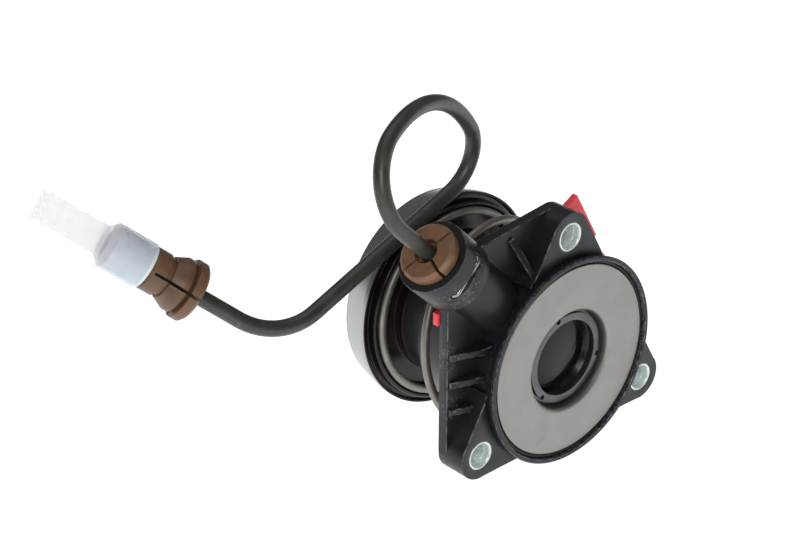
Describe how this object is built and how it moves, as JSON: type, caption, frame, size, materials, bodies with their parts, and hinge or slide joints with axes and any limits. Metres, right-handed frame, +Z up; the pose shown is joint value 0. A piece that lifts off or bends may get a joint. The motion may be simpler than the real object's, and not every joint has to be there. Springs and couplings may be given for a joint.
{
  "type": "concentric slave cylinder",
  "caption": "Ring-shaped hydraulic clutch release cylinder with a three-eared flange, a release bearing on a preload spring and a bent pressure pipe with a capped connector.",
  "frame": {"origin": "centre of the bolt circle, in the plane of the mounting face that meets the gearbox", "axes": "+Y along the cylinder towards the clutch, +Z up as fitted, +X completes the right-handed frame"},
  "size_m": [0.1823, 0.0706, 0.1208],
  "materials": {
    "black_moulding": "satin glass-filled moulding",
    "drawn_steel": "satin drawn sheet",
    "zinc_steel": "bright zinc plate",
    "black_rubber": "matt",
    "seal_case": "dark phosphate",
    "spring_steel": "drawn wire, warm grey",
    "ring_steel": "ground bearing steel",
    "red_moulding": "satin",
    "brown_moulding": "satin",
    "pipe_coat": "olive grey coating, satin",
    "clear_cap": "natural translucent polyethylene",
    "dark_carrier": "satin",
    "shell_steel": "bright drawn sheet",
    "cage_moulding": "satin"
  },
  "bodies": {
    "fixed_unit": {"housing": "black_moulding", "guide_sleeve": "drawn_steel", "bolt_sleeves": "zinc_steel", "rim_seal": "black_rubber", "sleeve_seal": "black_rubber", "wiper_ring": "black_rubber", "shaft_seal_case": "seal_case", "shaft_seal_lip": "black_rubber", "seal_garter_spring": "spring_steel", "stop_ring": "spring_steel", "spring_seat_ring": "red_moulding", "preload_spring": "spring_steel", "port_collet": "brown_moulding", "port_seal": "black_rubber", "port_clip": "zinc_steel", "pressure_pipe": "pipe_coat", "line_connector": "brown_moulding", "line_seal": "black_rubber"},
    "piston_unit": {"piston": "black_moulding", "piston_seal": "black_rubber", "bearing_carrier": "dark_carrier", "bearing_shell": "shell_steel", "bearing_outer_race": "ring_steel", "centring_washer": "spring_steel", "bearing_shield": "black_rubber"},
    "ball_set": {"bearing_balls": "ring_steel", "ball_cage": "cage_moulding"},
    "rotating_ring": {"bearing_inner_race": "ring_steel"},
    "cap": {"protective_cap": "clear_cap"}
  },
  "joints": [
    {"name": "piston_slide", "type": "slide", "parent": "fixed_unit", "child": "piston_unit", "axis": [0, 1, 0], "range_m": [-0.014, 0], "stiffness_N_per_m": 2000, "springref_m": 0.02, "deforming": ["preload_spring"]},
    {"name": "bearing_spin", "type": "hinge", "parent": "piston_unit", "child": "rotating_ring", "pos_m": [0, 0.0566, 0], "axis": [0, 1, 0], "continuous": true},
    {"name": "cage_spin", "type": "hinge", "parent": "piston_unit", "child": "ball_set", "pos_m": [0, 0.0566, 0], "axis": [0, 1, 0], "continuous": true},
    {"name": "cap_pull", "type": "slide", "parent": "fixed_unit", "child": "cap", "axis": [-0.6739, 0.4192, 0.6084], "range_m": [0, 0.02]}
  ],
  "couplings": [
    {"joint": "cage_spin", "follows": "bearing_spin", "ratio": 0.455}
  ]
}
